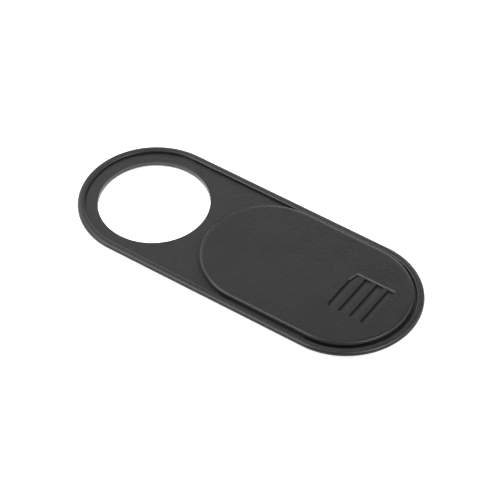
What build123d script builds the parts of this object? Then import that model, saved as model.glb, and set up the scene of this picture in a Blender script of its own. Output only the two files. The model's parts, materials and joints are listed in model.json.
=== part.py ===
"""Sliding cover for a webcam: a round-ended tray with a lens window, a shutter plate that
slides in the tray, and the adhesive pad that holds the tray to a screen bezel.

Sizes are in millimetres. The tray is centred on the origin with its length along X, and
the underside of the adhesive pad lies on Z = 0. The shutter is modelled fully open.
"""

import os

from build123d import *

# Tray outline and section
body_length = 40.0
body_width = 16.0
floor_thickness = 0.58
rim_width = 0.84
rim_crest_radius = 0.34  # outer edge, upper side
rim_side_land = 0.02  # upright band between the crest's round and the foot's chamfer
rim_lip_radius = 0.22  # inner edge of the crest, cut short by the grooves
lip_thickness = 0.145  # of the rim that overhangs each groove

# Lens window, concentric with the round end of the tray
lens_diameter = 11.78
lens_edge_radius = 0.05

# Adhesive pad under the tray
pad_thickness = 0.20
pad_inset = 0.70  # from the outline of the tray

# Shutter plate
shutter_lens_gap = 1.49  # between the lens window and the open plate
shutter_side_gap = 0.19  # visible gap between the plate and the rim
shutter_end_gap = 0.23  # left at the end of the tray at each stop
shutter_proud = 0.355  # top of the plate above the crest of the rim
shutter_edge_radius = 0.26

# Tongues of the shutter and the grooves under the rim that hold them
tongue_thickness = 0.11
tongue_engagement = 0.20  # reach of the tongue under the lip of the rim
tongue_end_inset = 0.20  # from the ends of the straight side of the plate
tongue_corner_radius = 0.25
running_clearance = 0.02  # above and below the tongues
groove_side_clearance = 0.05
groove_stop_clearance = 0.05

# Thumb grip: a row of ramped hollows sunk in the shutter, which leave teeth between them
grip_teeth = 4
grip_pitch = 1.35
grip_width = 5.36
grip_hollow = 0.95  # run of each hollow
grip_depth = 0.31  # of each hollow at its step
grip_end_depth = 0.12  # of each hollow where its ramp ends
grip_end_margin = 2.74  # from the end of the plate to the last hollow
grip_corner_length = 0.33  # cut corners of the first hollow, along the shutter
grip_corner_width = 0.60  # and across it

match_tolerance = 1e-4  # for finding an edge by its place

# Heights
tray_bottom = pad_thickness
floor_top = tray_bottom + floor_thickness
groove_top = floor_top + tongue_thickness + 2 * running_clearance
rim_top = groove_top + lip_thickness
rim_foot_chamfer = rim_top - tray_bottom - rim_crest_radius - rim_side_land
shutter_bottom = floor_top + running_clearance
shutter_top = rim_top + shutter_proud

# Plan
recess_length = body_length - 2 * rim_width
recess_width = body_width - 2 * rim_width
lens_radius = lens_diameter / 2
lens_x = -(body_length - body_width) / 2
shutter_open_end = recess_length / 2 - shutter_end_gap
shutter_lens_end = lens_x + lens_radius + shutter_lens_gap
shutter_length = shutter_open_end - shutter_lens_end
shutter_width = recess_width - 2 * shutter_side_gap
shutter_x = (shutter_open_end + shutter_lens_end) / 2
shutter_travel = 2 * shutter_x
tongue_length = shutter_length - shutter_width - 2 * tongue_end_inset
tongue_span = recess_width + 2 * tongue_engagement
groove_length = tongue_length + shutter_travel + 2 * groove_stop_clearance
groove_span = tongue_span + 2 * groove_side_clearance
grip_start = shutter_open_end - grip_end_margin - grip_hollow - (grip_teeth - 1) * grip_pitch


def round_ended_plate(length, width, bottom, top):
    """A plate with semicircular ends, between two heights."""
    return Pos(0, 0, bottom) * extrude(SlotOverall(length, width), amount=top - bottom)


def lens_disc(radius, bottom, top):
    """A disc on the axis of the lens window, between two heights."""
    return Pos(lens_x, 0, bottom) * extrude(Circle(radius), amount=top - bottom)


def cross_bar(length, span, bottom, top):
    """A bar across the tray, centred on it, between two heights."""
    on_floor = (Align.CENTER, Align.CENTER, Align.MIN)
    return Pos(0, 0, bottom) * Box(length, span, top - bottom, align=on_floor)


def edges_along(shape, plan, height):
    """The edges of a shape that lie along a plan outline at one height."""
    outline = Pos(0, 0, height) * plan.wire()
    return ShapeList(edge for edge in shape.edges() if outline.distance_to(edge @ 0.5) < match_tolerance)


def make_tray():
    """The moulded tray: floor, rounded rim, lens window and the groove under each long side."""
    outline = SlotOverall(body_length, body_width)
    recess = SlotOverall(recess_length, recess_width)
    window = Pos(lens_x, 0) * Circle(lens_radius)

    tray = round_ended_plate(body_length, body_width, tray_bottom, rim_top)
    tray = fillet(edges_along(tray, outline, rim_top), rim_crest_radius)
    tray = chamfer(edges_along(tray, outline, tray_bottom), rim_foot_chamfer)
    tray -= round_ended_plate(recess_length, recess_width, floor_top, rim_top)
    tray = fillet(edges_along(tray, recess, rim_top), rim_lip_radius)
    tray -= lens_disc(lens_radius, tray_bottom, floor_top)
    tray = fillet(edges_along(tray, window, floor_top), lens_edge_radius)
    return tray - cross_bar(groove_length, groove_span, floor_top, groove_top)


def make_grip_hollow(index):
    """One hollow of the grip: a step down, and a ramp back up towards the end of the plate."""
    step_x = grip_start + index * grip_pitch
    end_x = step_x + grip_hollow
    section = Polyline(
        (step_x, shutter_top),
        (step_x, shutter_top - grip_depth),
        (end_x, shutter_top - grip_end_depth),
        (end_x, shutter_top),
        close=True,
    )
    return extrude(Plane.XZ * make_face(section), amount=grip_width / 2, both=True)


def make_grip():
    """The row of hollows, with the outer corners of the first one cut off."""
    corner = Polyline(
        (grip_start, grip_width / 2),
        (grip_start, grip_width / 2 - grip_corner_width),
        (grip_start + grip_corner_length, grip_width / 2),
        close=True,
    )
    kept_corner = extrude(make_face(corner), amount=shutter_top)
    hollows = [make_grip_hollow(index) for index in range(grip_teeth)]
    hollows[0] -= [kept_corner, mirror(kept_corner, about=Plane.XZ)]
    return hollows


def make_shutter():
    """The sliding plate with its two side tongues and the thumb grip, at the open stop."""
    outline = SlotOverall(shutter_length, shutter_width)
    plate = round_ended_plate(shutter_length, shutter_width, shutter_bottom, shutter_top)
    plate = fillet(edges_along(plate, outline, shutter_top), shutter_edge_radius)
    tongues = cross_bar(tongue_length, tongue_span, shutter_bottom, shutter_bottom + tongue_thickness)
    tongues = fillet(tongues.edges().filter_by(Axis.Z), tongue_corner_radius)
    return Pos(shutter_x, 0, 0) * (plate + tongues) - make_grip()


def make_pad():
    """The die-cut adhesive pad, flush with the lens window."""
    pad = round_ended_plate(body_length - 2 * pad_inset, body_width - 2 * pad_inset, 0, pad_thickness)
    return pad - lens_disc(lens_radius, 0, pad_thickness)


def main():
    os.makedirs("parts", exist_ok=True)
    export_step(make_tray(), "parts/base_tray.step")
    export_step(make_shutter(), "parts/slider_shutter.step")
    export_step(make_pad(), "parts/adhesive_pad.step")


main()
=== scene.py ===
"""Stick-on webcam cover: a rimmed tray with a lens window, a sliding shutter and an adhesive pad.

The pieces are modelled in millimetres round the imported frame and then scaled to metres.
"""

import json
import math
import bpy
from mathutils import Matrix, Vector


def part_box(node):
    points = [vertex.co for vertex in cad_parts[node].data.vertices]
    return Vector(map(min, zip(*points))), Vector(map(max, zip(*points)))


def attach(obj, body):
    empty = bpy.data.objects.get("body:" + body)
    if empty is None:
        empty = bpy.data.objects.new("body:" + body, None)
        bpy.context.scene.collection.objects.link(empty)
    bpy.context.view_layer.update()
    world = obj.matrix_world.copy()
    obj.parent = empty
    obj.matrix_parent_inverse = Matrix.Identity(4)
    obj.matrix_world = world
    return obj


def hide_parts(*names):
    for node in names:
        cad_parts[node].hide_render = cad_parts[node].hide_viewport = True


bl_info = {
    "name": "Webcam Cover Slider",
    "version": (1, 0, 0),
    "blender": (4, 5, 0),
    "location": "View3D > Sidebar > Webcam Cover",
    "description": "Models a stick-on webcam cover with a sliding shutter in a plain studio",
    "category": "Add Mesh",
}

from types import SimpleNamespace

import bmesh
import bpy
from mathutils import Matrix, Vector

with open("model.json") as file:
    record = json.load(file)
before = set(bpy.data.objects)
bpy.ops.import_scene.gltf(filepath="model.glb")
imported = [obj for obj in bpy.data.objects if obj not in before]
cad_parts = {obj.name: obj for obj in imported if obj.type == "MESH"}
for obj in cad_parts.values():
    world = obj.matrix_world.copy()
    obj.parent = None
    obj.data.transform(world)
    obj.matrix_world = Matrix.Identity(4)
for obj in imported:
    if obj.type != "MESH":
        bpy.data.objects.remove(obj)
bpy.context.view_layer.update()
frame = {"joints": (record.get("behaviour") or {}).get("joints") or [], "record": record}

MM = 0.001  # a millimetre, in metres
TOUCH = 1e-4  # points nearer than this are one point, in millimetres
ARC_STEPS = 64  # of each round end
WINDOW_STEPS = 128  # of the lens window
ROUND_STEPS = 6  # of a rounded edge
SHARP_ANGLE = math.radians(20)  # an edge that turns more than this stays crisp
FLOOR_REACH = 2.0  # from the middle of the table to its edges, in metres
SENSOR_WIDTH = 36.0  # of the camera, in millimetres
NEAR_CLIP = 0.01  # nearest that the camera sees, in metres

# Softboxes: azimuth from +X and elevation in degrees, brightness
SOFTBOXES = {
    "key": (205, 62, 3.7),
    "front": (225, 35, 3.1),
    "right": (0, 58, 5.1),
    "back_right": (45, 35, 1.8),
    "back": (112, 24, 2.05),
    "back_left": (160, 44, 1.85),
    "left": (180, 12, 1.3),
}

tray_low, tray_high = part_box("base_tray")
shutter_low, shutter_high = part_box("slider_shutter")
pad_low, pad_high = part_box("adhesive_pad")
lens_mount = next(mount for mount in frame["record"]["mounts"] if mount["name"] == "lens_window")
travel = frame["joints"][0]["range_m"][1]


def length(name, description, default):
    """A length property, in metres."""
    return bpy.props.FloatProperty(
        name=name, description=description, default=default, min=0.0,
        precision=6, unit="LENGTH", subtype="DISTANCE",
    )


def place(name, description, default):
    """A coordinate property, in metres, which may be negative."""
    return bpy.props.FloatProperty(
        name=name, description=description, default=default,
        precision=6, unit="LENGTH", subtype="DISTANCE",
    )


def angle(name, description, degrees):
    """An angle property, given in degrees and kept in radians."""
    return bpy.props.FloatProperty(
        name=name, description=description, default=math.radians(degrees), unit="ROTATION", subtype="ANGLE"
    )


def colour(name, description, default):
    """A linear colour property."""
    return bpy.props.FloatVectorProperty(
        name=name, description=description, default=default, min=0.0, max=1.0, size=3, subtype="COLOR"
    )


def number(name, description, default):
    """A plain number property."""
    return bpy.props.FloatProperty(name=name, description=description, default=default)


class TrayProperties(bpy.types.PropertyGroup):
    """Sizes of the tray"""

    length: length("Length", "Overall length of the tray", tray_high.x - tray_low.x)
    width: length("Width", "Overall width of the tray", tray_high.y - tray_low.y)
    bottom: length("Underside", "Height of the underside", tray_low.z)
    top: length("Crest", "Height of the crest of the rim", tray_high.z)
    floor_thickness: length("Floor", "Thickness of the floor", 0.58 * MM)
    rim_width: length("Rim width", "Width of the rim", 0.84 * MM)
    crest_radius: length("Crest round", "Round of the outer edge, upper side", 0.34 * MM)
    side_land: length("Side band", "Upright band between the crest's round and the foot's chamfer", 0.02 * MM)
    lip_radius: length("Lip round", "Round of the inner edge of the crest", 0.22 * MM)
    lip_thickness: length("Lip", "Thickness of the rim above each groove", 0.145 * MM)
    groove_depth: length("Groove depth", "Depth of the groove under the rim", 0.25 * MM)
    stop_clearance: length("Stop clearance", "Play of the tongues at each end of a groove", 0.05 * MM)
    lens_x: place("Window place", "Centre of the lens window", lens_mount["pos_m"][0])
    lens_radius: length("Window radius", "Radius of the lens window", lens_mount["dims"]["r_mm"] * MM)
    lens_edge_radius: length("Window round", "Round of the upper edge of the window", 0.05 * MM)


class ShutterProperties(bpy.types.PropertyGroup):
    """Sizes of the sliding shutter"""

    length: length("Length", "Overall length of the plate", shutter_high.x - shutter_low.x)
    side_gap: length("Side gap", "Gap between the plate and the rim", 0.19 * MM)
    centre: place("Centre", "Middle of the plate at the open stop", (shutter_high.x + shutter_low.x) / 2)
    bottom: length("Underside", "Height of the underside", shutter_low.z)
    top: length("Top", "Height of the upper face", shutter_high.z)
    edge_radius: length("Edge round", "Round of the upper edge", 0.26 * MM)
    tongue_span: length("Tongue span", "Width over both tongues", shutter_high.y - shutter_low.y)
    tongue_thickness: length("Tongue", "Thickness of the side tongues", 0.11 * MM)
    tongue_end_inset: length("Tongue inset", "From the ends of the plate's straight side", 0.20 * MM)
    tongue_corner: length("Tongue corner", "Round of the tongues' corners", 0.25 * MM)


class GripProperties(bpy.types.PropertyGroup):
    """Sizes of the thumb grip"""

    count: bpy.props.IntProperty(name="Hollows", description="Ramped hollows in the row", default=4, min=1)
    pitch: length("Pitch", "Distance from hollow to hollow", 1.35 * MM)
    run: length("Run", "Length of each hollow along the plate", 0.88 * MM)
    width: length("Width", "Length of each hollow across the plate, over its rounded ends", 5.44 * MM)
    offset: place("Offset", "How far the row sits off the centre line", 0.20 * MM)
    end_margin: length("End margin", "From the end of the plate to the last hollow", 2.75 * MM)
    depth: length("Depth", "Depth of each hollow at its step", 0.335 * MM)
    first_depth: length("First depth", "Depth of the first hollow at its step", 0.255 * MM)
    ramp_rise: length("Ramp rise", "How far each hollow's ramp rises", 0.055 * MM)
    land_depth: length("Land depth", "How far the lands between the hollows lie below the plate", 0.09 * MM)
    corner_length: length("Cut corners", "Corners cut off the first hollow, along the plate", 0.26 * MM)
    far_corner_width: length("Far cut corner", "Far one of these corners, across the plate", 1.00 * MM)
    near_corner_width: length("Near cut corner", "Near one of these corners, across the plate", 0.45 * MM)
    corner_growth: number("Corner growth", "Share by which the far cut corner grows down to the lands", 0.35)
    end_radius: length("End round", "Round of the edges at the far ends of the hollows", 0.42 * MM)
    edge_turn: angle("Edge turn", "Slope at which that round starts at the plate", 15.0)
    round_depth: length("Round depth", "How far down that round reaches", 0.14 * MM)
    end_draft: length("End draft", "How far the wall below that round leans in", 0.045 * MM)
    near_ratio: number("Near ratio", "Reach of the near ends' walls, as a share of the far ends'", 0.5)
    step_ratio: number("Step ratio", "How much steeper the steps are than the far ends", 3.0)
    border: length("Border", "Flat border kept round the row", 0.20 * MM)


class PadProperties(bpy.types.PropertyGroup):
    """Sizes of the adhesive pad"""

    length: length("Length", "Overall length of the pad", pad_high.x - pad_low.x)
    width: length("Width", "Overall width of the pad", pad_high.y - pad_low.y)
    thickness: length("Thickness", "Thickness of the tape", pad_high.z - pad_low.z)
    edge_hollow: length("Cut edge", "How far the die-cut edge of the foam draws in", 0.02 * MM)


class FinishProperties(bpy.types.PropertyGroup):
    """Colours and textures of the finishes"""

    # The tray's plastic is painted a little lighter than the shutter's: painted light, standing in for the
    # brighter light that falls on the tray at the left end.
    tray: colour("Tray", "Black moulded plastic of the tray", (0.014, 0.014, 0.0145))
    shutter: colour("Shutter", "Black moulded plastic of the shutter", (0.0125, 0.0125, 0.013))
    patch_ratio: number("Patches", "How much lighter the patches of the plastic are", 1.32)
    tape: colour("Tape", "White foam of the pad", (0.80, 0.80, 0.78))
    tape_shade: colour("Tape, darker", "Tone of the pores of the foam", (0.66, 0.66, 0.63))
    floor: colour("Studio floor", "Pale floor", (0.92, 0.92, 0.92))
    roughness: number("Gloss of plastic", "Roughness of the moulded skin", 0.32)
    gloss_spread: number("Gloss spread", "How much the roughness of the skin varies", 0.05)
    mottle: length("Mottle", "Size of the patches of the plastic", 3.0 * MM)
    grain: length("Grain", "Size of the moulded grain", 0.32 * MM)
    tray_grain_depth: length("Tray grain", "Height of the grain on the tray", 0.026 * MM)
    shutter_grain_depth: length("Shutter grain", "Height of the grain on the shutter", 0.017 * MM)
    tape_roughness: number("Gloss of tape", "Roughness of the foam", 0.55)
    tape_gloss_spread: number("Gloss spread of tape", "How much the roughness of the foam varies", 0.1)
    tape_mottle: length("Tape mottle", "Size of the patches of the foam", 0.4 * MM)
    pore: length("Pores", "Size of the pores of the foam", 0.05 * MM)
    pore_depth: length("Pore depth", "Depth of the pores of the foam", 0.006 * MM)
    floor_roughness: number("Gloss of floor", "Roughness of the studio floor", 0.9)
    floor_specular: number("Shine of floor", "Strength of the studio floor's reflections", 0.1)


class StageProperties(bpy.types.PropertyGroup):
    """Camera and light"""

    azimuth: angle("Azimuth", "Camera's turn about the cover", 35.833)
    elevation: angle("Elevation", "Camera's height above the horizon", 46.751)
    roll: angle("Roll", "Camera's turn about its own axis", -1.416)
    distance: length("Distance", "From the camera to its target", 311.0 * MM)
    target: bpy.props.FloatVectorProperty(
        name="Target", description="Point at the middle of the picture",
        default=(0.22 * MM, -0.03 * MM, 0.6775 * MM), precision=6, unit="LENGTH", subtype="XYZ"
    )
    lens: number("Lens", "Focal length in millimetres", 217.86)
    sky: number("Sky", "Strength of the even white light", 0.15)
    glow: number("Table glow", "Light that the white table gives off", 0.8)
    light_distance: length("Light distance", "From the softboxes to the cover", 350.0 * MM)
    light_diameter: length("Light diameter", "Diameter of each softbox", 220.0 * MM)


class CoverProperties(bpy.types.PropertyGroup):
    """All that can be set on the cover"""

    tray: bpy.props.PointerProperty(type=TrayProperties, name="Tray")
    shutter: bpy.props.PointerProperty(type=ShutterProperties, name="Shutter")
    grip: bpy.props.PointerProperty(type=GripProperties, name="Grip")
    pad: bpy.props.PointerProperty(type=PadProperties, name="Pad")
    finish: bpy.props.PointerProperty(type=FinishProperties, name="Finish")
    stage: bpy.props.PointerProperty(type=StageProperties, name="Stage")


def in_millimetres(group):
    """The values of a property group, with its lengths in millimetres."""
    values = {}
    for key in type(group).__annotations__:
        is_length = group.bl_rna.properties[key].unit == "LENGTH"
        values[key] = getattr(group, key) / MM if is_length else getattr(group, key)
    return SimpleNamespace(**values)


# Modelling


def unique(items):
    """The items in their order, each of them once."""
    return list(dict.fromkeys(items))


def draw_section(bm, corners, x):
    """Draw a wall's section at x, as a chain of edges through (radius, height, rounding) corners."""
    before = set(bm.verts)
    verts = [bm.verts.new((x, -radius, height)) for radius, height, _ in corners]
    for pair in zip(verts, verts[1:]):
        bm.edges.new(pair)
    for vert, (_, _, rounding) in zip(verts, corners):
        if rounding:
            bmesh.ops.bevel(
                bm, geom=[vert], offset=rounding, offset_type="OFFSET", segments=ROUND_STEPS,
                profile=0.5, affect="VERTICES", material=-1,
            )
    chain = [vert for vert in bm.verts if vert not in before]
    return chain + unique(edge for vert in chain for edge in vert.link_edges)


def sweep_round_ended(bm, section, half_run):
    """Sweep a section, drawn where the right end's arc starts, once round a round-ended outline."""
    for side in (1, -1):
        turned = bmesh.ops.spin(
            bm, geom=section, cent=(side * half_run, 0, 0), axis=(0, 0, 1), angle=math.pi, steps=ARC_STEPS
        )
        last = [item for item in turned["geom_last"] if isinstance(item, bmesh.types.BMEdge)]
        grown = bmesh.ops.extrude_edge_only(bm, edges=last)["geom"]
        verts = [item for item in grown if isinstance(item, bmesh.types.BMVert)]
        bmesh.ops.translate(bm, vec=(-side * 2 * half_run, 0, 0), verts=verts)
        ends = set(verts)
        section = verts + [
            item for item in grown if isinstance(item, bmesh.types.BMEdge) and ends.issuperset(item.verts)
        ]
    bmesh.ops.remove_doubles(bm, verts=bm.verts, dist=TOUCH)


def sweep_round(bm, section, centre_x):
    """Sweep a section once round an upright axis on the centre line."""
    bmesh.ops.spin(
        bm, geom=section, cent=(centre_x, 0, 0), axis=(0, 0, 1),
        angle=math.tau, steps=WINDOW_STEPS, use_merge=True,
    )


def loop_at(bm, radius, height, half_run=0.0, centre_x=0.0):
    """The edges of the closed loop at one radius and height of a round or round-ended outline."""

    def on_loop(vert):
        past_run = max(abs(vert.co.x - centre_x) - half_run, 0.0)
        off_radius = math.hypot(past_run, vert.co.y) - radius
        return abs(off_radius) < TOUCH and abs(vert.co.z - height) < TOUCH

    return [edge for edge in bm.edges if all(on_loop(vert) for vert in edge.verts)]


def fill_flat(bm, *loops):
    """Close the flat face that one or more closed loops bound."""
    bmesh.ops.triangle_fill(bm, use_beauty=True, edges=[edge for loop in loops for edge in loop])


def cut_faces(bm, faces, plane_co, plane_no):
    """Divide faces where a plane crosses them."""
    edges = unique(edge for face in faces for edge in face.edges)
    verts = unique(vert for face in faces for vert in face.verts)
    bmesh.ops.bisect_plane(
        bm, geom=[*verts, *edges, *faces], dist=TOUCH, plane_co=plane_co, plane_no=plane_no
    )


def wall_faces(bm, side, wall_y, rounding, low, high=math.inf, half_length=math.inf):
    """The faces of one long wall above a height, with their middles below another and within a length."""

    def is_wanted(face):
        middle = face.calc_center_median()
        is_on_wall = all(-TOUCH < side * vert.co.y - wall_y < rounding + TOUCH for vert in face.verts)
        is_above = all(vert.co.z > low - TOUCH for vert in face.verts)
        return is_on_wall and is_above and middle.z < high and abs(middle.x) < half_length

    return [face for face in bm.faces if is_wanted(face)]


def push_out_strips(bm, wall_y, rounding, low, high, half_length, reach):
    """Push a strip of each long wall out to a reach: a groove from inside a rim, a tongue from a plate."""
    pushed = []
    for side in (-1, 1):
        wall = (bm, side, wall_y, rounding, low)
        for x in (-half_length, half_length):
            cut_faces(bm, wall_faces(*wall), (x, 0, 0), (1, 0, 0))
        cut_faces(bm, wall_faces(*wall, half_length=half_length), (0, 0, high), (0, 0, 1))
        strip = wall_faces(*wall, high, half_length)
        grown = bmesh.ops.extrude_face_region(bm, geom=strip)["geom"]
        bmesh.ops.delete(bm, geom=strip, context="FACES")
        for vert in grown:
            if isinstance(vert, bmesh.types.BMVert):
                vert.co.y = side * reach
        pushed += [face for face in grown if isinstance(face, bmesh.types.BMFace)]
    return pushed


def add_piece(bm, name, node, body, material):
    """Turn a modelled shape into the piece that stands for a node of the frame."""
    bmesh.ops.remove_doubles(bm, verts=bm.verts, dist=TOUCH)
    bmesh.ops.recalc_face_normals(bm, faces=bm.faces)
    for face in bm.faces:
        face.smooth = True
    for edge in bm.edges:
        edge.smooth = edge.calc_face_angle(math.pi) < SHARP_ANGLE
    bmesh.ops.scale(bm, vec=(MM, MM, MM), verts=bm.verts)
    mesh = bpy.data.meshes.new(name)
    bm.to_mesh(mesh)
    bm.free()
    mesh.materials.append(material)
    piece = bpy.data.objects.new(name, mesh)
    bpy.context.scene.collection.objects.link(piece)
    shading = piece.modifiers.new("Flat faces stay flat", "WEIGHTED_NORMAL")
    shading.keep_sharp = True
    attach(piece, body)
    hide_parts(node)


# Finishes


def new_node(tree, kind, place_x, place_y, **values):
    """Add a node and set its input values by name."""
    node = tree.nodes.new(kind)
    node.location = (place_x, place_y)
    for name, value in values.items():
        node.inputs[name].default_value = value
    return node


def grain_group():
    """Node group: a fine pebbled grain, and the faint patches of an uneven tone."""
    found = bpy.data.node_groups.get("Grain and patches")
    if found:
        return found
    group = bpy.data.node_groups.new("Grain and patches", "ShaderNodeTree")
    group.interface.new_socket("Grain", in_out="INPUT", socket_type="NodeSocketFloat")
    group.interface.new_socket("Mottle", in_out="INPUT", socket_type="NodeSocketFloat")
    group.interface.new_socket("Height", in_out="OUTPUT", socket_type="NodeSocketFloat")
    group.interface.new_socket("Tone", in_out="OUTPUT", socket_type="NodeSocketFloat")
    given = new_node(group, "NodeGroupInput", -600, 0)
    place_node = new_node(group, "ShaderNodeTexCoord", -600, 200)
    grain = new_node(group, "ShaderNodeTexNoise", -300, 200, Detail=2.0, Roughness=0.5)
    mottle = new_node(group, "ShaderNodeTexNoise", -300, -100, Detail=4.0, Roughness=0.6)
    result = new_node(group, "NodeGroupOutput", 100, 0)
    links = group.links
    links.new(place_node.outputs["Object"], grain.inputs["Vector"])
    links.new(place_node.outputs["Object"], mottle.inputs["Vector"])
    links.new(given.outputs["Grain"], grain.inputs["Scale"])
    links.new(given.outputs["Mottle"], mottle.inputs["Scale"])
    links.new(grain.outputs["Fac"], result.inputs["Height"])
    links.new(mottle.outputs["Fac"], result.inputs["Tone"])
    return group


def textured_material(name, dark, light, grain_size, mottle_size, bump_height, roughness, spread):
    """A material whose tone, gloss and relief follow a fine grain and larger, faint patches."""
    material = bpy.data.materials.new(name)
    material.use_nodes = True
    tree = material.node_tree
    tree.nodes.clear()
    output = new_node(tree, "ShaderNodeOutputMaterial", 500, 0)
    shader = new_node(tree, "ShaderNodeBsdfPrincipled", 200, 0)
    skin = new_node(tree, "ShaderNodeGroup", -500, 0)
    skin.node_tree = grain_group()
    skin.inputs["Grain"].default_value = 1.0 / grain_size
    skin.inputs["Mottle"].default_value = 1.0 / mottle_size
    tone = new_node(tree, "ShaderNodeMix", -200, 200)
    tone.data_type = "RGBA"
    tone.inputs["A"].default_value = (*dark, 1.0)
    tone.inputs["B"].default_value = (*light, 1.0)
    gloss = new_node(tree, "ShaderNodeMapRange", -200, -50)
    gloss.inputs["To Min"].default_value = roughness - spread
    gloss.inputs["To Max"].default_value = roughness + spread
    bump = new_node(tree, "ShaderNodeBump", -200, -350, Strength=1.0, Distance=bump_height)
    links = tree.links
    links.new(skin.outputs["Tone"], tone.inputs["Factor"])
    links.new(skin.outputs["Tone"], gloss.inputs["Value"])
    links.new(skin.outputs["Height"], bump.inputs["Height"])
    links.new(tone.outputs["Result"], shader.inputs["Base Color"])
    links.new(gloss.outputs["Result"], shader.inputs["Roughness"])
    links.new(bump.outputs["Normal"], shader.inputs["Normal"])
    links.new(shader.outputs["BSDF"], output.inputs["Surface"])
    return material


def moulded_plastic(name, dark, finish, grain_depth):
    """Matt black moulded plastic."""
    light = [value * finish.patch_ratio for value in dark]
    return textured_material(
        name, dark, light, grain_size=finish.grain, mottle_size=finish.mottle,
        bump_height=grain_depth, roughness=finish.roughness, spread=finish.gloss_spread,
    )


def foam_tape(name, finish):
    """White foam tape with fine pores."""
    return textured_material(
        name, finish.tape_shade, finish.tape, grain_size=finish.pore, mottle_size=finish.tape_mottle,
        bump_height=finish.pore_depth, roughness=finish.tape_roughness, spread=finish.tape_gloss_spread,
    )


# Pieces


class COVER_OT_tray(bpy.types.Operator):
    """Model the tray: floor, rounded rim, lens window and the grooves under the rim"""

    bl_idname = "webcam_cover.tray"
    bl_label = "Tray"

    def execute(self, context):
        cover = context.scene.webcam_cover
        tray = in_millimetres(cover.tray)
        shutter = in_millimetres(cover.shutter)
        half_run = (tray.length - tray.width) / 2
        outer = tray.width / 2
        inner = outer - tray.rim_width
        floor = tray.bottom + tray.floor_thickness
        groove_top = tray.top - tray.lip_thickness
        foot = tray.top - tray.bottom - tray.crest_radius - tray.side_land
        floor_hole = tray.lens_radius + 2 * tray.lens_edge_radius

        bm = bmesh.new()
        wall = [
            (inner, floor, 0.0),
            (inner, tray.top, tray.lip_radius),
            (outer, tray.top, tray.crest_radius),
            (outer, tray.bottom + foot, 0.0),
            (outer - foot, tray.bottom, 0.0),
            (inner, tray.bottom, 0.0),
        ]
        sweep_round_ended(bm, draw_section(bm, wall, half_run), half_run)
        window = [
            (floor_hole, floor, 0.0),
            (tray.lens_radius, floor, tray.lens_edge_radius),
            (tray.lens_radius, tray.bottom, 0.0),
        ]
        sweep_round(bm, draw_section(bm, window, tray.lens_x), tray.lens_x)
        fill_flat(
            bm, loop_at(bm, inner, floor, half_run),
            loop_at(bm, floor_hole, floor, centre_x=tray.lens_x),
        )
        fill_flat(
            bm, loop_at(bm, inner, tray.bottom, half_run),
            loop_at(bm, tray.lens_radius, tray.bottom, centre_x=tray.lens_x),
        )
        straight = shutter.length - (2 * inner - 2 * shutter.side_gap)
        groove = straight - 2 * shutter.tongue_end_inset + travel / MM + 2 * tray.stop_clearance
        push_out_strips(bm, inner, tray.lip_radius, floor, groove_top, groove / 2, inner + tray.groove_depth)
        finish = cover.finish
        # Its colour is painted lighter than the shutter's, as painted light for the brighter left end.
        plastic = moulded_plastic("Tray plastic", finish.tray, finish, finish.tray_grain_depth)
        add_piece(bm, "tray", "base_tray", "tray", plastic)
        return {"FINISHED"}


def grip_layout(grip, plate_end):
    """Where the row of hollows starts and ends along the plate, its steps, and its near and far ends."""
    end = plate_end - grip.end_margin
    start = end - grip.run - (grip.count - 1) * grip.pitch
    return SimpleNamespace(
        start=start,
        end=end,
        steps=[start + index * grip.pitch for index in range(grip.count)],
        near=grip.offset - grip.width / 2,
        far=grip.offset + grip.width / 2,
    )


def grip_faces(bm, grip, low, high, height):
    """The level faces of the grip at one height, with their middles between two places along the plate."""
    reach = grip.width / 2 + grip.border

    def is_wanted(face):
        middle = face.calc_center_median()
        is_inside = low < middle.x < high and abs(middle.y - grip.offset) < reach
        return is_inside and all(abs(vert.co.z - height) < TOUCH for vert in face.verts)

    return [face for face in bm.faces if is_wanted(face)]


def largest(faces):
    """The face with the largest area."""
    return max(faces, key=lambda face: face.calc_area())


def lay_grip_panel(bm, grip, layout, top):
    """Lay a level panel with the outline of the grip drawn on it, and return the loop of its border."""
    low = layout.start - grip.border
    high = layout.end + grip.border
    panel = bmesh.ops.create_grid(bm, x_segments=1, y_segments=1, size=0.5)["verts"]
    bmesh.ops.scale(bm, vec=(high - low, grip.width + 2 * grip.border, 1.0), verts=panel)
    bmesh.ops.translate(bm, vec=((layout.start + layout.end) / 2, grip.offset, top), verts=panel)
    for x in (layout.start, layout.end):
        cut_faces(bm, grip_faces(bm, grip, low, high, top), (x, 0, 0), (1, 0, 0))
    for y in (layout.near, layout.far):
        cut_faces(bm, grip_faces(bm, grip, low, high, top), (0, y, 0), (0, 1, 0))
    edges = unique(edge for face in grip_faces(bm, grip, low, high, top) for edge in face.edges)
    border = [edge for edge in edges if edge.is_boundary]
    corners = ((-1, layout.near, grip.near_corner_width), (1, layout.far, grip.far_corner_width))
    for side, y, width in corners:
        pocket = largest(grip_faces(bm, grip, layout.start, layout.end, top))
        slant = (-width, side * grip.corner_length, 0)
        cut_faces(bm, [pocket], (layout.start + grip.corner_length, y, 0), slant)
    return border


def end_round(grip, drop_from, drop_to):
    """Section of the round at the grip's ends between two depths: how far in and how far down."""
    edge_height = math.cos(grip.edge_turn)
    first = math.acos(edge_height - drop_from / grip.end_radius)
    last = math.acos(edge_height - drop_to / grip.end_radius)
    turns = [first + (last - first) * index / ROUND_STEPS for index in range(ROUND_STEPS + 1)]
    return [
        (grip.end_radius * math.sin(turn), grip.end_radius * (edge_height - math.cos(turn)))
        for turn in turns
    ]


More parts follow.
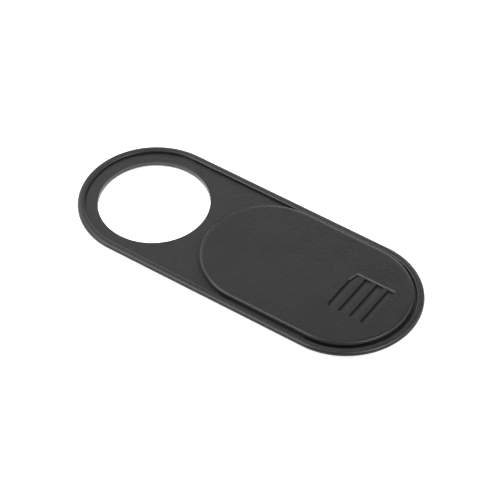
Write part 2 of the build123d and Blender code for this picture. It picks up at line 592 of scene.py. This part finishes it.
def sink_face(bm, face, section, stretch, height_at):
    """Sink a face along a section, in rings that are steeper along the plate by the stretch."""
    bmesh.ops.scale(bm, vec=(stretch, 1, 1), verts=bm.verts)
    for (reach_before, _), (reach, drop) in zip(section, section[1:]):
        bmesh.ops.inset_individual(bm, faces=[face], thickness=reach - reach_before, use_even_offset=True)
        for vert in face.verts:
            vert.co.z = height_at(vert.co.x / stretch, drop)
    bmesh.ops.scale(bm, vec=(1 / stretch, 1, 1), verts=bm.verts)


def grow_far_corner(grip, layout, verts, top):
    """Let the far cut corner grow with depth, by sliding its points along the edges beside it."""
    for vert in verts:
        is_along = vert.co.x < layout.start + grip.corner_length + grip.border
        is_across = vert.co.y > layout.far - grip.far_corner_width - grip.border
        if is_along and is_across:
            growth = grip.corner_growth * (top - vert.co.z) / grip.land_depth
            if vert.co.y > layout.far - grip.far_corner_width / 2:
                vert.co.x += growth * grip.corner_length
            else:
                vert.co.y -= growth * grip.far_corner_width


def ramp_heights(grip, land, step, depth):
    """The heights in a hollow, whose floor ramps up from its step."""
    slope = grip.ramp_rise / (depth - grip.land_depth) / grip.run

    def height_at(x, drop):
        return land - (drop - grip.land_depth) * (1 - slope * (x - step))

    return height_at


def cut_grip(bm, grip, top, plate_end):
    """Lay the panel that holds the sunk grip into the upper face, and return its border loop."""
    layout = grip_layout(grip, plate_end)
    border = lay_grip_panel(bm, grip, layout, top)
    level_verts = set(bm.verts)

    def sunk_verts():
        return [vert for vert in bm.verts if vert not in level_verts]

    land = top - grip.land_depth
    edge_section = end_round(grip, 0.0, grip.land_depth)
    pocket = largest(grip_faces(bm, grip, layout.start, layout.end, top))
    sink_face(bm, pocket, edge_section, grip.step_ratio, lambda x, drop: top - drop)
    grow_far_corner(grip, layout, sunk_verts(), top)
    for x in [*layout.steps[1:], *(step + grip.run for step in layout.steps[:-1])]:
        cut_faces(bm, grip_faces(bm, grip, layout.start, layout.end, land), (x, 0, 0), (1, 0, 0))

    wall_section = end_round(grip, grip.land_depth, grip.round_depth)
    wall_foot = wall_section[-1][0] + grip.end_draft
    for step in layout.steps:
        depth = grip.first_depth if step == layout.start else grip.depth
        hollow = largest(grip_faces(bm, grip, step, step + grip.run, land))
        section = [*wall_section, (wall_foot, depth)]
        sink_face(bm, hollow, section, grip.step_ratio, ramp_heights(grip, land, step, depth))

    wall_reach = wall_foot - edge_section[0][0]
    for vert in sunk_verts():
        if vert.co.y < layout.near + wall_reach + TOUCH:
            vert.co.y = layout.near + (vert.co.y - layout.near) * grip.near_ratio
    return border


class COVER_OT_shutter(bpy.types.Operator):
    """Model the shutter: round-ended plate, side tongues and the thumb grip"""

    bl_idname = "webcam_cover.shutter"
    bl_label = "Shutter"

    def execute(self, context):
        cover = context.scene.webcam_cover
        tray = in_millimetres(cover.tray)
        shutter = in_millimetres(cover.shutter)
        grip = in_millimetres(cover.grip)
        half_width = tray.width / 2 - tray.rim_width - shutter.side_gap
        half_run = shutter.length / 2 - half_width
        tongue_top = shutter.bottom + shutter.tongue_thickness
        top_radius = half_width - 2 * shutter.edge_radius

        bm = bmesh.new()
        wall = [
            (top_radius, shutter.top, 0.0),
            (half_width, shutter.top, shutter.edge_radius),
            (half_width, shutter.bottom, 0.0),
        ]
        sweep_round_ended(bm, draw_section(bm, wall, half_run), half_run)
        border = cut_grip(bm, grip, shutter.top, shutter.length / 2)
        fill_flat(bm, loop_at(bm, half_width, shutter.bottom, half_run))
        fill_flat(bm, loop_at(bm, top_radius, shutter.top, half_run), border)
        tongues = push_out_strips(
            bm, half_width, 0.0, shutter.bottom, tongue_top,
            half_run - shutter.tongue_end_inset, shutter.tongue_span / 2,
        )
        corners = [
            edge for face in tongues for edge in face.edges
            if abs(edge.verts[0].co.x - edge.verts[1].co.x) < TOUCH
        ]
        bmesh.ops.bevel(
            bm, geom=corners, offset=shutter.tongue_corner, offset_type="OFFSET", segments=ROUND_STEPS,
            profile=0.5, affect="EDGES", material=-1,
        )
        bmesh.ops.translate(bm, vec=(shutter.centre, 0, 0), verts=bm.verts)
        finish = cover.finish
        plastic = moulded_plastic("Shutter plastic", finish.shutter, finish, finish.shutter_grain_depth)
        add_piece(bm, "shutter", "slider_shutter", "shutter", plastic)
        return {"FINISHED"}


class COVER_OT_pad(bpy.types.Operator):
    """Model the die-cut adhesive pad under the tray"""

    bl_idname = "webcam_cover.pad"
    bl_label = "Adhesive pad"

    def execute(self, context):
        cover = context.scene.webcam_cover
        pad = in_millimetres(cover.pad)
        tray = in_millimetres(cover.tray)
        half_run = (pad.length - pad.width) / 2
        outer = pad.width / 2
        middle = pad.thickness / 2

        bm = bmesh.new()
        edge = [(outer, 0.0, 0.0), (outer - pad.edge_hollow, middle, 0.0), (outer, pad.thickness, 0.0)]
        sweep_round_ended(bm, draw_section(bm, edge, half_run), half_run)
        window = [
            (tray.lens_radius, 0.0, 0.0),
            (tray.lens_radius + pad.edge_hollow, middle, 0.0),
            (tray.lens_radius, pad.thickness, 0.0),
        ]
        sweep_round(bm, draw_section(bm, window, tray.lens_x), tray.lens_x)
        for height in (0.0, pad.thickness):
            fill_flat(
                bm, loop_at(bm, outer, height, half_run),
                loop_at(bm, tray.lens_radius, height, centre_x=tray.lens_x),
            )
        add_piece(bm, "pad", "adhesive_pad", "tray", foam_tape("Foam tape", cover.finish))
        return {"FINISHED"}


# Stage


def add_floor(finish, glow):
    """A pale, evenly lit table under the cover."""
    bm = bmesh.new()
    bmesh.ops.create_grid(bm, x_segments=1, y_segments=1, size=FLOOR_REACH)
    mesh = bpy.data.meshes.new("floor")
    bm.to_mesh(mesh)
    bm.free()
    material = bpy.data.materials.new("Studio floor")
    material.use_nodes = True
    shader = material.node_tree.nodes["Principled BSDF"]
    shader.inputs["Base Color"].default_value = (*finish.floor, 1.0)
    shader.inputs["Roughness"].default_value = finish.floor_roughness
    shader.inputs["Specular IOR Level"].default_value = finish.floor_specular
    shader.inputs["Emission Color"].default_value = (1.0, 1.0, 1.0, 1.0)
    shader.inputs["Emission Strength"].default_value = glow
    mesh.materials.append(material)
    floor = bpy.data.objects.new("floor", mesh)
    bpy.context.scene.collection.objects.link(floor)


def add_softbox(name, distance, diameter, azimuth, elevation, brightness):
    """A round softbox that faces the cover."""
    data = bpy.data.lights.new(name, "AREA")
    data.shape = "DISK"
    data.size = diameter
    area = math.pi * diameter ** 2 / 4
    data.energy = brightness * math.pi * area  # power of a flat light with this brightness
    turn, lift = math.radians(azimuth), math.radians(elevation)
    towards = Vector((math.cos(lift) * math.cos(turn), math.cos(lift) * math.sin(turn), math.sin(lift)))
    light = bpy.data.objects.new(name, data)
    light.location = towards * distance
    light.rotation_euler = towards.to_track_quat("Z", "Y").to_euler()
    bpy.context.scene.collection.objects.link(light)


def add_sky(strength):
    """Even white light from all round."""
    world = bpy.data.worlds.new("Studio")
    world.use_nodes = True
    background = world.node_tree.nodes["Background"]
    background.inputs["Color"].default_value = (1.0, 1.0, 1.0, 1.0)
    background.inputs["Strength"].default_value = strength
    bpy.context.scene.world = world


def add_camera(stage):
    """The camera, at the photograph's angle."""
    flat = math.cos(stage.elevation)
    back = Vector((
        math.sin(stage.azimuth) * flat, -math.cos(stage.azimuth) * flat, math.sin(stage.elevation)
    ))
    right = Vector((math.cos(stage.azimuth), math.sin(stage.azimuth), 0.0))
    right = Matrix.Rotation(stage.roll, 3, back) @ right
    data = bpy.data.cameras.new("camera")
    data.sensor_width = SENSOR_WIDTH
    data.lens = stage.lens
    data.clip_start = NEAR_CLIP
    camera = bpy.data.objects.new("camera", data)
    axes = Matrix((right, back.cross(right), back)).transposed()
    camera.matrix_world = Matrix.Translation(Vector(stage.target) + back * stage.distance) @ axes.to_4x4()
    bpy.context.scene.collection.objects.link(camera)
    bpy.context.scene.camera = camera


class COVER_OT_stage(bpy.types.Operator):
    """Set up the floor, the light and the camera"""

    bl_idname = "webcam_cover.stage"
    bl_label = "Stage"

    def execute(self, context):
        cover = context.scene.webcam_cover
        add_floor(cover.finish, cover.stage.glow)
        add_sky(cover.stage.sky)
        for name, settings in SOFTBOXES.items():
            add_softbox(name, cover.stage.light_distance, cover.stage.light_diameter, *settings)
        add_camera(cover.stage)
        context.scene.view_settings.view_transform = "Standard"
        return {"FINISHED"}


class COVER_PT_panel(bpy.types.Panel):
    """Sidebar panel that lists the pieces and their sizes"""

    bl_idname = "COVER_PT_panel"
    bl_label = "Webcam Cover"
    bl_space_type = "VIEW_3D"
    bl_region_type = "UI"
    bl_category = "Webcam Cover"

    def draw(self, context):
        cover = context.scene.webcam_cover
        for operator in operators:
            self.layout.operator(operator.bl_idname)
        for name in CoverProperties.__annotations__:
            group = getattr(cover, name)
            box = self.layout.box()
            box.label(text=name.capitalize())
            for key in type(group).__annotations__:
                box.prop(group, key)


property_groups = (
    TrayProperties, ShutterProperties, GripProperties, PadProperties, FinishProperties, StageProperties,
    CoverProperties,
)
operators = (COVER_OT_tray, COVER_OT_shutter, COVER_OT_pad, COVER_OT_stage)


def register():
    """Add the cover's classes and its settings to the scene."""
    for cls in (*property_groups, *operators, COVER_PT_panel):
        bpy.utils.register_class(cls)
    bpy.types.Scene.webcam_cover = bpy.props.PointerProperty(type=CoverProperties)


def unregister():
    """Take the settings and the classes away again."""
    del bpy.types.Scene.webcam_cover
    for cls in reversed((*property_groups, *operators, COVER_PT_panel)):
        bpy.utils.unregister_class(cls)


def main():
    """Model the cover and set up the stage."""
    register()
    bpy.ops.webcam_cover.tray()
    bpy.ops.webcam_cover.shutter()
    bpy.ops.webcam_cover.pad()
    bpy.ops.webcam_cover.stage()


if __name__ == "__main__":
    main()
